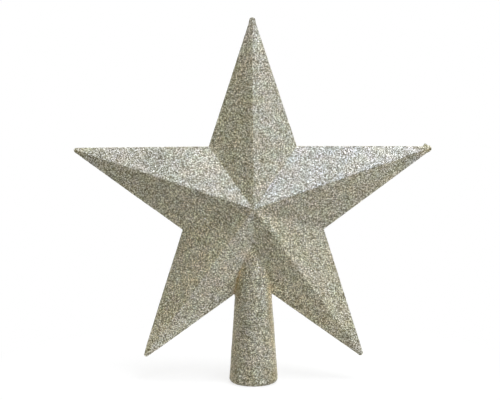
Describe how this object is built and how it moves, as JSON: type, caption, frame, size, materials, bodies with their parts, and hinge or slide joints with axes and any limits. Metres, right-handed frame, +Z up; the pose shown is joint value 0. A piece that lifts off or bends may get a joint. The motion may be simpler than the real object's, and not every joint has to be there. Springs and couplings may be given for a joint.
{
  "type": "tree topper star",
  "caption": "Faceted star ornament with a glitter finish, glued from half shells around a tapered socket that slips over the top shoot of a tree.",
  "frame": {"origin": "centre of the socket's mouth, on the plane of its rim", "axes": "+Z up along the socket and through the star's top point, the front of the star faces -Y, +X to the right seen from the front"},
  "size_m": [0.1842, 0.0354, 0.1891],
  "materials": {
    "star_shell": "champagne silver glitter in clear lacquer",
    "socket": "champagne silver glitter in clear lacquer, bare plastic inside the bore",
    "glue": "dried tan glue"
  },
  "bodies": {
    "root": {"front_shell": "star_shell", "back_shell": "star_shell", "socket_cone": "socket", "seam_glue": "glue", "socket_glue": "glue"}
  },
  "joints": []
}
